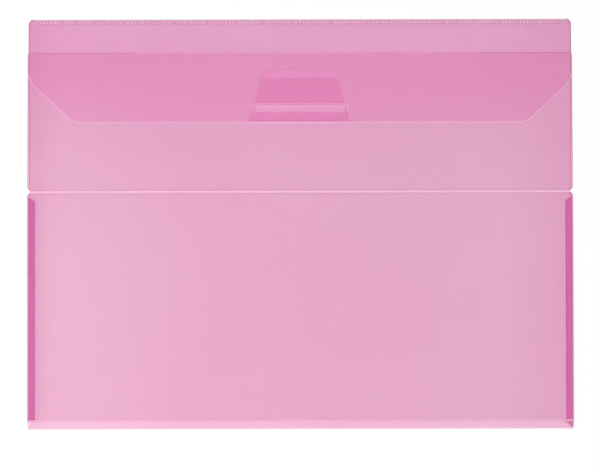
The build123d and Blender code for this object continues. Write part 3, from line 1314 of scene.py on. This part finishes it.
@dataclass
class FrontLeaves:
    """The front: the welded lower leaf, the pressed cross crease and the free upper leaf.

    Attributes:
        bench: Where its pieces are finished.
        case: The case's measures.
        notch: The notches at both ends of the cross crease.
        mouth_radius: Radius of the upper leaf's free corners.
        slot_drop: From the case's top edge down to the middle of the slot.
        slot_half: Half the width of the slot.
        slot_height: Height of the slot.
        slot_radius: Radius of its corners.
        crease_lip: White edge of the lower leaf beside the crease, from pressing and partly a painted
            highlight.
        below_crease: Painted shade line on the lower leaf, next to that edge.
        below_inset: How far its middle lies from the crease.
        above_crease: Painted shade line on the upper leaf, beside the crease.
        bottom_bend: White line of the bend onto the wall.
        bottom_inset: How far its middle lies from the leaf's end.
        mouth_lip: Painted highlight along the free edge.
        crease_rows: Where the band is scored, as shares of its width.
        crease_cells: How many cells half the band has.
        crease_white: Up to where the band is white, and where no longer, in the same way; the white is from
            pressing and partly a painted highlight.
        crease_sag: How deep the band is pressed in.
        lower_ripple: The lower leaf's waves.
        upper_ripple: The upper leaf's waves.
    """

    bench: Bench
    case: CaseFrame
    notch: Notch
    mouth_radius: float = 1.6 * MM
    slot_drop: float = 52.4 * MM
    slot_half: float = 28.7 * MM
    slot_height: float = 4.7 * MM
    slot_radius: float = 2.0 * MM
    crease_lip: Press = (0.7 * MM, 0.75)
    below_crease: Press = (0.98 * MM, 0.3)
    below_inset: float = 0.98 * MM
    above_crease: Press = (1.4 * MM, 0.3)
    bottom_bend: Press = (2.0 * MM, 0.6)
    bottom_inset: float = 0.4 * MM
    mouth_lip: Press = (2.0 * MM, 0.5)
    crease_rows: tuple[float, ...] = (0.18, 0.34, 0.5, 0.66, 0.82)
    crease_cells: int = 40
    crease_white: Span = (0.5, 0.8)
    crease_sag: float = 0.05 * MM
    lower_ripple: Ripple = Ripple(0.35 * MM, 80 * MM, 7.7)
    upper_ripple: Ripple = Ripple(0.25 * MM, 70 * MM, 11.3)

    def build(self) -> None:
        """Makes the three pieces."""
        self.lower()
        self.crease()
        self.upper()

    def lower(self) -> None:
        """The lower leaf with its bend onto the bottom wall."""
        case, notch, half = self.case, self.notch, self.case.front_half
        top, bottom = case.crease[0], case.front_fold[0]
        steps = ((top - bottom, 0.0), arc(case.bend, case.wall_slope))
        line = BendLine((top, case.front_middle), 180.0, steps)
        whole, away = line.length(), notch.middle - top
        pattern = Pattern()
        pattern.cut(
            (
                (-SPARE, -SPARE),
                (notch.edge(away - SPARE), -SPARE),
                (half, notch.end(half) - away),
                (half, whole + SPARE),
                (-SPARE, whole + SPARE),
            )
        )
        pattern.crop(0.0, whole)
        # Painted shade on the side edges and in the notch.
        pattern.turn_away(notch.tip)
        pattern.grid(line, 0.0, whole, half)
        # White from pressing beside the crease, partly a painted highlight, then a painted shade line below
        # it, and a white line at the bend onto the wall.
        pattern.streak(pattern.pressed, 0.0, *self.crease_lip)
        pattern.streak(pattern.hollow, self.below_inset, *self.below_crease)
        pattern.streak(pattern.pressed, whole - self.bottom_inset, *self.bottom_bend)
        pattern.mirror()
        pattern.ripple(self.lower_ripple)
        pattern.bend(line)
        nodes = ("front_lower_panel", "front_bottom_crease")
        self.bench.finish("front_lower_sheet", pattern, Stock.PANEL, Ride("front"), nodes)

    def crease(self) -> None:
        """The band pressed thin and white between the two leaves."""
        case, notch = self.case, self.notch
        low, high = case.crease
        width = high - low
        height = case.front_middle - case.sheet / 2 + case.web / 2
        line = BendLine((low, height), 0.0, ((width, 0.0),))
        edge = notch.edge(width / 2)
        tip = (notch.edge(0.0), width / 2)
        pattern = Pattern()
        pattern.cut(((0.0, 0.0), (edge, 0.0), tip, (edge, width), (0.0, width)), framed=False)
        columns = (CELL / 2 * step for step in range(1, self.crease_cells))
        pattern.rule([row * width for row in self.crease_rows], columns)
        # White from pressing, partly a painted highlight, fading out towards the upper leaf.
        white, plain_from = self.crease_white
        for vert in pattern.bm.verts:
            up = vert.co.y / width
            vert[pattern.pressed] = clamp((plain_from - up) / (plain_from - white))
            vert.co.z = -self.crease_sag * math.cos(math.pi * abs(up - 0.5))
        pattern.mirror()
        pattern.bend(line)
        start, end = (0, (low + high) / 2, height), (0, high, height)
        ride = Ride("front_crease_band", "front_upper", start=start, end=end)
        self.bench.finish("cross_crease", pattern, Stock.CREASE, ride, ("front_crease",), case.web)

    def upper(self) -> None:
        """The free upper leaf, with the slot that the tongue tucks into."""
        case, notch, half = self.case, self.notch, self.case.front_half
        slope = math.radians(case.leaf_slope)
        start = case.crease[1]
        whole = (case.mouth[0] - start) / math.cos(slope)
        line = BendLine((start, case.front_middle), -case.leaf_slope, ((whole, 0.0),))
        top = case.top_fold[0] + case.bend + case.sheet / 2
        slot = (top - self.slot_drop - start) / math.cos(slope)
        slot_low, slot_high = slot - self.slot_height / 2, slot + self.slot_height / 2
        away = start - notch.middle
        pattern = Pattern()
        pattern.cut(
            (
                (-SPARE, -SPARE),
                (notch.edge(away - SPARE), -SPARE),
                (half, notch.end(half) - away),
                (half, whole, self.mouth_radius),
                (-SPARE, whole),
                (-SPARE, slot_high),
                (self.slot_half, slot_high, self.slot_radius),
                (self.slot_half, slot_low, self.slot_radius),
                (-SPARE, slot_low),
            )
        )
        pattern.crop(0.0)
        # Painted shade on the side edges and in the notch.
        pattern.turn_away(notch.tip)
        pattern.grid(line, 0.0, whole, half)
        # A painted shade line beside the crease and a painted highlight along the free edge.
        pattern.streak(pattern.hollow, 0.0, *self.above_crease)
        pattern.streak(pattern.pressed, whole, *self.mouth_lip)
        pattern.mirror()
        pattern.ripple(self.upper_ripple)
        pattern.bend(line)
        ride = Ride("front_upper")
        self.bench.finish("front_upper_sheet", pattern, Stock.PANEL, ride, ("front_upper_panel",))


@dataclass
class FlapAndTongue:
    """The folded top edge with its knurled crease, the flap and the tuck tongue.

    Attributes:
        bench: Where its pieces are finished.
        case: The case's measures.
        corner_radius: Radius of both ends of the folded top edge.
        band: Width of the knurled band beside the roll.
        pitch: From one tooth to the next.
        teeth: How many there are.
        tooth_half: Half the width of a tooth.
        tooth_from: From the end of the roll to the teeth.
        tooth_length: Length of a tooth along the flap.
        tooth_slope: Width of the slope around it.
        tooth_depth: How deep it is pressed.
        tooth_lean: The most that one leans, as a slope.
        tooth_whites: How white one may be.
        tooth_tone: Depth of the painted shade around it.
        tooth_seed: What the teeth's chances start from.
        roll_tone: Depth of the painted shade on the roll.
        side: From the case's top edge down to the flap's slanted corners.
        slant: Width of those corners.
        flap_radius: Radius of their upper end.
        low_radius: Radius of their lower end.
        tongue_half: Half the width of the tongue at the flap's edge.
        neck_half: Half its width at the neck.
        neck_height: From the flap's edge, at the middle of its sheet, to the neck.
        neck_share: Share that the neck moves up of what the dip makes the tongue longer.
        tip_half: Half its width at the tip.
        tip_radius: Radius of the tip's corners.
        tongue_length: From the flap's edge to the tip.
        dip_slope: How steeply the tongue dips through the slot.
        dip_radius: Radius of the dip's bends.
        dip_from: From the centre of the tongue's fold to the dip.
        dip_to: From the same centre to where the dip ends.
        dip_depth: How deep the dip goes.
        tip_rise: How far the tip rises again.
        shine: The tongue's painted highlights: their place from the flap's edge, width and strength.
        shine_half: Half the length of those lines.
        recess_line: Painted shade line on the flap beside the recess.
        recess_inset: How far its middle lies from the recess.
        recess_edge: What the recess keeps of the cut edge's painted highlight.
        flap_lip: Painted highlight along the flap's lower edge.
        fold_white: Place and width of the painted highlight along the fold, as shares of the fold.
        root_line: Deeper line across the tongue's root.
        root_inset: How far its middle lies from the fold.
        tip_white: Painted highlight across the tongue near its tip.
        tip_inset: How far its middle lies from the tip.
        left_rim: How much painted shade the tongue's left edge has.
        ripple: The flap's waves.
    """

    bench: Bench
    case: CaseFrame
    corner_radius: float = 3.2 * MM
    band: float = 3.2 * MM
    pitch: float = 2.06 * MM
    teeth: int = 149
    tooth_half: float = 0.6 * MM
    tooth_from: float = 0.5 * MM
    tooth_length: float = 1.3 * MM
    tooth_slope: float = 0.28 * MM
    tooth_depth: float = 0.15 * MM
    tooth_lean: float = 0.22
    tooth_whites: tuple[float, ...] = (0.4, 0.85, 0.9, 0.95, 1.0)
    tooth_tone: float = 0.6
    tooth_seed: int = 41
    roll_tone: float = 0.65
    side: float = 36.5 * MM
    slant: float = 26.5 * MM
    flap_radius: float = 10.5 * MM
    low_radius: float = 10.0 * MM
    tongue_half: float = 30.5 * MM
    neck_half: float = 27.9 * MM
    neck_height: float = 8.8 * MM
    neck_share: float = 1 / 3
    tip_half: float = 21.7 * MM
    tip_radius: float = 7.0 * MM
    tongue_length: float = 31.5 * MM
    dip_slope: float = 22.0
    dip_radius: float = 1.4 * MM
    dip_from: float = 6.06 * MM
    dip_to: float = 12.25 * MM
    dip_depth: float = 2.5 * MM
    tip_rise: float = 0.4 * MM
    shine: tuple[tuple[float, float, float], ...] = (
        (7.2 * MM, 1.1 * MM, 1.0),
        (8.4 * MM, 1.1 * MM, 1.0),
        (9.9 * MM, 3.0 * MM, 1.0),
        (15.0 * MM, 12.0 * MM, 0.12),
    )
    shine_half: float = 26.0 * MM
    recess_line: Press = (0.9 * MM, 0.4)
    recess_inset: float = 0.5 * MM
    recess_edge: float = 0.3
    flap_lip: Press = (1.6 * MM, 0.65)
    fold_white: tuple[float, float] = (0.35, 0.5)
    root_line: Press = (6.0 * MM, 0.12)
    root_inset: float = 2.6 * MM
    tip_white: Press = (7.4 * MM, 1.0)
    tip_inset: float = 2.2 * MM
    left_rim: float = 0.24
    ripple: Ripple = Ripple(0.25 * MM, 60 * MM, 17.9)

    def build(self) -> None:
        """Makes the three pieces."""
        self.hinge()
        self.flap()
        self.tongue()

    @property
    def turn(self) -> float:
        """How far the sheet turns over the folded top edge."""
        return 180 - self.case.flap_slope

    def hinge(self) -> None:
        """The folded top edge and the band of pressed teeth beside it."""
        case, half = self.case, self.case.back_half
        roll = arc(case.bend, self.turn)
        line = BendLine(case.beside(case.top_fold, -90), 0.0, (roll, (self.band, 0.0)))
        whole = line.length()
        first = roll[0] + self.tooth_from
        pattern = Pattern()
        self.tooth_cell(pattern, whole, first)
        self.repeat_cell(pattern, first + self.tooth_length / 2)
        row_half = self.teeth * self.pitch / 2
        for side in (-1, 1):
            pattern.fill((side * row_half, 0.0), (side * (half - EDGE_BAND), whole))
            pattern.fill((side * (half - EDGE_BAND), 0.0), (side * half, whole))
        pattern.rule(line.rows() + [first, first + self.tooth_length])
        bmesh.ops.remove_doubles(pattern.bm, verts=pattern.bm.verts, dist=WELD)
        bmesh.ops.recalc_face_normals(pattern.bm, faces=pattern.bm.faces)
        # Painted shade on the cut edges at both ends and over the roll.
        for vert in pattern.bm.verts:
            vert[pattern.cut_edge] = -float(abs(vert.co.x) > half - EDGE_BAND / 2)
            if WELD < vert.co.y < roll[0] - WELD:
                vert[pattern.hollow] = self.roll_tone
        pattern.bend(line)
        round_corners(pattern, case, self.corner_radius)
        y, z = case.top_fold
        ride = Ride("back", "flap", start=(0, y, z - case.bend), end=(0, y, z + case.bend))
        self.bench.finish("flap_hinge", pattern, Stock.KNURL, ride, ("flap_hinge_strip",))

    def tooth_cell(self, pattern: Pattern, whole: float, first: float) -> None:
        """Makes the middle cell of the knurled band, with one tooth pressed into it.

        Args:
            pattern: The empty pattern.
            whole: Length of the strip along its line.
            first: Where the tooth begins.
        """
        pattern.fill((-self.pitch / 2, 0.0), (self.pitch / 2, whole))
        pattern.rule((first, first + self.tooth_length), (-self.tooth_half, self.tooth_half))
        middle = first + self.tooth_length / 2
        (tooth,) = [
            face
            for face in pattern.bm.faces
            if abs(face.calc_center_median().x) < WELD
            and abs(face.calc_center_median().y - middle) < WELD
        ]
        # Painted shade around the tooth; the press whitens its floor.
        for vert in tooth.verts:
            vert[pattern.hollow] = self.tooth_tone
        bmesh.ops.inset_individual(
            pattern.bm,
            faces=[tooth],
            thickness=self.tooth_slope,
            depth=-self.tooth_depth,
            use_even_offset=True,
        )
        for vert in tooth.verts:
            vert[pattern.pressed] = 1.0
            vert[pattern.hollow] = 0.0

    def repeat_cell(self, pattern: Pattern, middle: float) -> None:
        """Repeats the cell in a row, each tooth a little different.

        Args:
            pattern: The pattern with its one cell.
            middle: The teeth's middle along the line.
        """
        chance = random.Random(self.tooth_seed)
        cell = pattern.everything()
        places = [step for step in range(-(self.teeth // 2), self.teeth // 2 + 1) if step]
        for step in places:
            copy = bmesh.ops.duplicate(pattern.bm, geom=cell)["geom"]
            verts = [item for item in copy if isinstance(item, bmesh.types.BMVert)]
            lean = chance.uniform(-self.tooth_lean, self.tooth_lean)
            white = chance.choice(self.tooth_whites)
            for vert in verts:
                if vert[pattern.pressed] or vert[pattern.hollow]:
                    vert.co.x += lean * (vert.co.y - middle)
                    vert[pattern.pressed] *= white
            bmesh.ops.translate(pattern.bm, verts=verts, vec=(step * self.pitch, 0, 0))

    def flap(self) -> None:
        """The flap, with slanted lower corners and a recess for the tongue's fold."""
        case, half = self.case, self.case.back_half
        outer = case.bend + case.sheet / 2
        reach = case.flap_reach
        low = reach + outer
        start = case.beside(case.top_fold, 90 - case.flap_slope)
        line = BendLine(start, self.turn, ((low, 0.0),))
        pattern = Pattern()
        pattern.cut(
            (
                (-SPARE, self.band - SPARE),
                (half, self.band - SPARE),
                (half, self.side - outer, self.flap_radius),
                (half - self.slant, low, self.low_radius),
                (self.tongue_half, low),
                (self.tongue_half, reach),
                (-SPARE, reach),
            )
        )
        pattern.crop(self.band)
        # Painted shade on the flap's side edges.
        pattern.turn_away(half - WELD)
        pattern.grid(line, self.band, low, half)
        # A painted shade line beside the recess and a painted highlight along the lower edge.
        recess = reach - self.recess_inset
        pattern.streak(pattern.hollow, recess, *self.recess_line, self.tongue_half)
        pattern.streak(pattern.pressed, low, *self.flap_lip)
        pattern.mirror()
        pattern.ripple(self.ripple)
        # Less painted highlight on the cut edges by the recess.
        for vert in pattern.bm.verts:
            if abs(vert.co.x) < self.tongue_half + EDGE_BAND and vert.co.y > reach - EDGE_BAND / 2:
                vert[pattern.cut_edge] *= self.recess_edge
        pattern.bend(line)
        self.bench.finish("flap_sheet", pattern, Stock.FLAP, Ride("flap"), ("flap_panel",))

    def tongue(self) -> None:
        """The tongue: folded back under the flap's edge, through the slot, up inside."""
        case = self.case
        fold = arc(case.bend, 180 + case.flap_slope - case.leaf_slope)
        slope, radius = math.radians(self.dip_slope), self.dip_radius
        reach = self.tongue_length - case.bend - case.sheet / 2
        tip_turn = math.atan2(self.tip_rise, reach - self.dip_to)
        first, second = radius * math.tan(slope / 2), radius * math.tan((slope + tip_turn) / 2)
        down = math.hypot(self.dip_to - self.dip_from, self.dip_depth)
        steps = (
            fold,
            (self.dip_from - first, 0.0),
            arc(radius, -self.dip_slope),
            (down - first - second, 0.0),
            arc(radius, self.dip_slope + math.degrees(tip_turn)),
            (reach - self.dip_to - second, 0.0),
        )
        line = BendLine(case.beside(case.tongue_fold, 90 - case.flap_slope), self.turn, steps)
        whole = line.length()
        longer = whole - fold[0] - reach
        neck = fold[0] + self.neck_height - case.bend + longer * self.neck_share
        pattern = Pattern()
        pattern.cut(
            (
                (-SPARE, -SPARE),
                (self.tongue_half, -SPARE),
                (self.tongue_half, fold[0]),
                (self.neck_half, neck),
                (self.tip_half, whole, self.tip_radius),
                (-SPARE, whole),
            )
        )
        pattern.crop(0.0)
        pattern.grid(line, 0.0, whole, self.neck_half)
        # Painted highlights along the fold, across the dip and near the tip, and a deeper line across the
        # root.
        place, width = self.fold_white
        pattern.streak(pattern.pressed, place * fold[0], width * fold[0], 1.0)
        pattern.streak(pattern.hollow, fold[0] + self.root_inset, *self.root_line)
        for height, width, strength in self.shine:
            place = fold[0] - case.bend - case.sheet / 2 + height
            pattern.streak(pattern.pressed, place, width, strength, self.shine_half)
        pattern.streak(pattern.pressed, whole - self.tip_inset, *self.tip_white)
        pattern.mirror()
        # Painted shade on the left edge in place of a painted highlight, and no painted edge light beside
        # the fold.
        for vert in pattern.bm.verts:
            if vert.co.x < 0:
                vert[pattern.cut_edge] *= -self.left_rim
            if vert.co.y < fold[0] + EDGE_BAND:
                vert[pattern.cut_edge] = 0.0
        pattern.bend(line)
        y, z = case.tongue_fold
        ride = Ride("flap", "tongue", start=(0, y, z + case.bend), end=(0, y, z - case.bend))
        nodes = ("tongue_fold", "tongue_root", "tongue_blade")
        self.bench.finish("tongue_sheet", pattern, Stock.FLAP, ride, nodes)


class Side(Enum):
    """The two sides of the case."""

    LEFT = -1
    RIGHT = 1

    @property
    def word(self) -> str:
        """The side's name, as the frame's bodies have it."""
        return self.name.lower()


@dataclass
class Gusset:
    """One side's gusset: a strip folded to a V and welded to the back and the front.

    Attributes:
        bench: Where its pieces are finished.
        case: The case's measures.
        side: Which side it is on.
        top_drop: From the cross crease down to the strip's upper end.
        top_taper: How much lower that end is at the inner fold.
        bottom_rise: From the case's bottom up to the strip's lower end.
        bottom_taper: How much higher that end is at the inner fold.
        lip: Width of the painted highlight along the outer edge.
        tone: Least depth of its painted shade.
        beside_inner: Painted shade line beside the inner fold.
        inner_tone: Depth of the painted shade in the inner fold.
        fold: Where the strip turns off its flange, as (distance from the middle, z).
        inner: Centre of the inner fold, in the same way.
        reach: From the inner fold out to the side of the front.
        line: The strip's bend line, seen from the case's bottom edge.
    """

    bench: Bench
    case: CaseFrame
    side: Side
    top_drop: float = 1.9 * MM
    top_taper: float = 3.2 * MM
    bottom_rise: float = 1.8 * MM
    bottom_taper: float = 3.0 * MM
    lip: float = 0.3 * MM
    tone: float = 0.0
    beside_inner: Press = (2.6 * MM, 0.7)
    inner_tone: float = 0.6
    fold: Spot = field(init=False)
    inner: Spot = field(init=False)
    reach: float = field(init=False)
    line: BendLine = field(init=False)

    def __post_init__(self) -> None:
        """Finds the strip's bend line from the frame."""
        name = f"gusset_{self.side.word}_"
        joints = hinge_places()
        x, _, z = joints[name + "back_fold"]
        front_z = joints[name + "front_fold"][2]
        low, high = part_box(name + "inner_fold")
        bend, outer = self.case.bend, self.case.bend + self.case.sheet / 2
        inner = min(abs(low.x), abs(high.x)) + outer
        self.fold = (abs(x), z)
        self.inner = (inner, (z + front_z) / 2)
        self.reach = self.case.front_half - inner + outer
        step = (self.fold[0] - inner, self.inner[1] - z)
        apart = math.hypot(*step)
        tilt = math.degrees(math.atan2(step[1], step[0]) - math.asin(2 * bend / apart))
        leaf = math.sqrt(apart**2 - 4 * bend**2)
        start = min(abs(corner.x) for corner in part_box(name + "back_flange"))
        flat, over = self.fold[0] - start, 180 - tilt
        steps = (
            (flat, 0.0),
            arc(bend, over),
            (leaf, 0.0),
            arc(bend, -(180 - 2 * tilt)),
            (leaf, 0.0),
            arc(bend, over),
            (flat, 0.0),
        )
        self.line = BendLine((start, z - bend), 0.0, steps)

    def build(self) -> None:
        """Makes the strip beside the back, the V's inner crease and the strip by the front."""
        word = self.side.word
        name = f"gusset_{word}_"
        first = sum(length for length, _ in self.line.steps[:3])
        second = first + self.line.steps[3][0]
        x, z = self.side.value * self.fold[0], self.fold[1]
        mirror_z = 2 * self.inner[1] - z
        bend = self.case.bend
        back = Ride("back", name + "back", start=(x, 0, z - bend), end=(x, 0, z + bend))
        front = Ride(
            "front", name + "front", start=(x, 0, mirror_z + bend), end=(x, 0, mirror_z - bend)
        )
        whole = self.line.length()
        strips = (
            ("back_strip", 0.0, first, back, ("back_flange", "back_fold", "back_leaf")),
            ("inner_crease", first, second, Ride(name + "back"), ("inner_fold",)),
            ("front_strip", second, whole, front, ("front_leaf", "front_fold", "front_flange")),
        )
        for part, low, high, ride, nodes in strips:
            pattern = self.strip(low, high, by_back=part == "back_strip")
            nodes = [name + node for node in nodes]
            self.bench.finish(name + part, pattern, Stock.GUSSET, ride, nodes)

    def strip(self, low: float, high: float, by_back: bool) -> Pattern:
        """Cuts and bends one stretch of the strip.

        Args:
            low: Where it begins along the bend line.
            high: Where it ends.
            by_back: Whether it is the part that is welded to the back.

        Returns:
            The bent pattern, its ends slanted towards the inner fold.
        """
        case = self.case
        top = sum(case.crease) / 2 - self.top_drop
        bottom = case.bottom_fold[0] - case.bend - case.sheet / 2 + self.bottom_rise
        pattern = Pattern()
        pattern.fill((bottom - CELL, low), (top + CELL, high))
        rows = [row for row in self.line.rows() if low < row < high]
        count = int((top - bottom) / CELL) + 2
        pattern.rule(rows, (bottom + CELL * step for step in range(count)))
        # Painted shade beside the inner fold.
        if high - low > CELL / 2:
            pattern.streak(pattern.hollow, high if low == 0.0 else low, *self.beside_inner)
        # A painted highlight along the outer edge.
        if low == 0.0 or high == self.line.length():
            outline = low if low == 0.0 else high
            pattern.rule(abs(outline - off) for off in (self.lip, self.lip + EDGE_BAND / 2))
            for vert in pattern.bm.verts:
                vert[pattern.cut_edge] = float(abs(vert.co.y - outline) < self.lip + WELD)
        elif not by_back:
            # Painted shade in the inner fold.
            for vert in pattern.bm.verts:
                vert[pattern.hollow] = self.inner_tone
        # Painted shade over the whole strip, at least this deep.
        for vert in pattern.bm.verts:
            vert[pattern.hollow] = max(vert[pattern.hollow], self.tone)
        pattern.bend(self.line, Fold.UP)
        half, taper = case.front_half, self.top_taper / self.reach
        pattern.trim((half, top, 0), (-taper, 1, 0))
        rise = self.bottom_taper
        if by_back:
            pattern.trim((half, bottom, 0), (-rise / self.reach, -1, 0))
        else:
            pattern.trim((half, bottom + rise, 0), (0, -1, 0))
        if self.side is Side.LEFT:
            bmesh.ops.scale(pattern.bm, vec=(-1, 1, 1), verts=pattern.bm.verts)
            bmesh.ops.recalc_face_normals(pattern.bm, faces=pattern.bm.faces)
        return pattern


@dataclass
class Studio:
    """The plain pale floor, soft light and a camera straight above the case.

    Attributes:
        target: What the camera looks at.
        distance: From there to the camera.
        seen: Width of the picture at the target.
        tilt: How far the camera leans towards the bottom edge.
        roll: How far it is turned about its own line of sight.
        sensor: Width of its sensor, in millimetres.
        clip: Nearest and farthest that it sees.
        floor_size: Width of the floor.
        floor_cells: How many cells it has each way.
        floor_drop: How far the floor lies under the case.
        floor_tone: The floor's tone in the light that it gives to the case.
        floor_glow: How bright the camera sees it where no light falls.
        floor_shade: Its tone to the camera in the light, which keeps the case's shadow.
        sheets_seen: Through how many faces of the sheets a ray can pass.
        sky: Brightness of the sky.
        lamp_place: Where the lamp stands.
        lamp_size: Its width.
        lamp_power: Its power in watts.
    """

    target: Point = (-0.33 * MM, -5.5 * MM, 6.0 * MM)
    distance: float = 2.394
    seen: float = 351.6 * MM
    tilt: float = 2.0
    roll: float = -0.13
    sensor: float = 36.0
    clip: Span = (0.05, 20.0)
    floor_size: float = 6.0
    floor_cells: int = 8
    floor_drop: float = 0.1 * MM
    floor_tone: float = 0.85
    floor_glow: float = 0.8
    floor_shade: float = 0.22
    sheets_seen: int = 64
    sky: float = 0.66
    lamp_place: Point = (-0.7, -0.6, 1.0)
    lamp_size: float = 0.9
    lamp_power: float = 8.2

    def build(self) -> None:
        """Sets everything up around the case."""
        self.floor()
        self.light()
        self.camera()
        scene = bpy.context.scene
        scene.view_settings.view_transform = "Standard"
        scene.cycles.transparent_max_bounces = self.sheets_seen

    @staticmethod
    def seen_directly(board: Board) -> bpy.types.NodeSocket:
        """Tells rays that look at a surface from those that carry its light.

        Args:
            board: The board of the surface's material.

        Returns:
            1 where the camera, gloss or glass looks at it, and 0 elsewhere.
        """
        path = board.add("LightPath").outputs
        rays = ("Is Camera Ray", "Is Glossy Ray", "Is Transmission Ray")
        return board.most(*(path[ray] for ray in rays))

    def floor(self) -> None:
        """A wide pale floor that shows white and still takes the case's shadow."""
        bm = bmesh.new()
        cells, half = self.floor_cells, self.floor_size / 2
        bmesh.ops.create_grid(bm, x_segments=cells, y_segments=cells, size=half)
        bmesh.ops.translate(bm, verts=bm.verts, vec=(0, 0, -self.floor_drop))
        mesh = bpy.data.meshes.new("floor")
        bm.to_mesh(mesh)
        bm.free()
        material = bpy.data.materials.new("pale_floor")
        material.use_nodes = True
        board = emptied(material.node_tree)
        tone, shade = ((part, part, part, 1.0) for part in (self.floor_tone, self.floor_shade))
        plain_floor = board.add("BsdfDiffuse", Color=tone)
        glow = board.add("Emission", Color=WHITE, Strength=self.floor_glow)
        shadow = board.add("BsdfDiffuse", Color=shade)
        both = board.add("AddShader")
        for socket, node in zip(both.inputs, (glow, shadow)):
            board.join(socket, node.outputs[0])
        seen = self.seen_directly(board)
        board.add("OutputMaterial", Surface=board.mixed(seen, plain_floor, both))
        mesh.materials.append(material)
        put("floor", mesh)

    def light(self) -> None:
        """An even sky with one large soft lamp towards the case's lower left."""
        world = bpy.data.worlds.new("studio")
        bpy.context.scene.world = world
        world.use_nodes = True
        board = emptied(world.node_tree)
        sky = board.add("Background", Color=WHITE, Strength=self.sky)
        white = board.add("Background", Color=WHITE, Strength=1.0)
        seen = self.seen_directly(board)
        board.add("OutputWorld", Surface=board.mixed(seen, sky, white))
        data = bpy.data.lights.new("soft_lamp", "AREA")
        data.shape = "DISK"
        data.size = self.lamp_size
        data.energy = self.lamp_power
        lamp = put("soft_lamp", data)
        lamp.location = self.lamp_place
        lamp.rotation_euler = Vector(self.lamp_place).to_track_quat("Z", "Y").to_euler()

    def camera(self) -> None:
        """A long lens almost straight above the case, with +Y up the picture."""
        data = bpy.data.cameras.new("camera")
        data.sensor_width = self.sensor
        data.lens = self.sensor * self.distance / self.seen
        data.clip_start, data.clip_end = self.clip
        camera = put("camera", data)
        tilt = math.radians(self.tilt)
        away = Vector((0, -math.sin(tilt), math.cos(tilt))) * self.distance
        camera.location = Vector(self.target) + away
        camera.rotation_euler = (tilt, 0, math.radians(self.roll))
        bpy.context.scene.camera = camera


def main() -> None:
    """Builds the case on its frame, then the studio."""
    logging.basicConfig(level=logging.INFO, format="%(name)s: %(message)s")
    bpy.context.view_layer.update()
    case = CaseFrame.measured()
    bench = Bench(case.sheet)
    notch = Notch(sum(case.crease) / 2, case.front_half)
    assemblies = [
        BackShell(bench, case, notch),
        FrontLeaves(bench, case, notch),
        FlapAndTongue(bench, case),
        # The left gusset carries deeper painted shade.
        Gusset(bench, case, Side.LEFT, tone=0.45),
        Gusset(bench, case, Side.RIGHT, bottom_rise=1.5 * MM, bottom_taper=3.3 * MM),
    ]
    for assembly in assemblies:
        LOG.info("building %s", type(assembly).__name__)
        assembly.build()
    Studio().build()


if __name__ == "__main__":
    main()
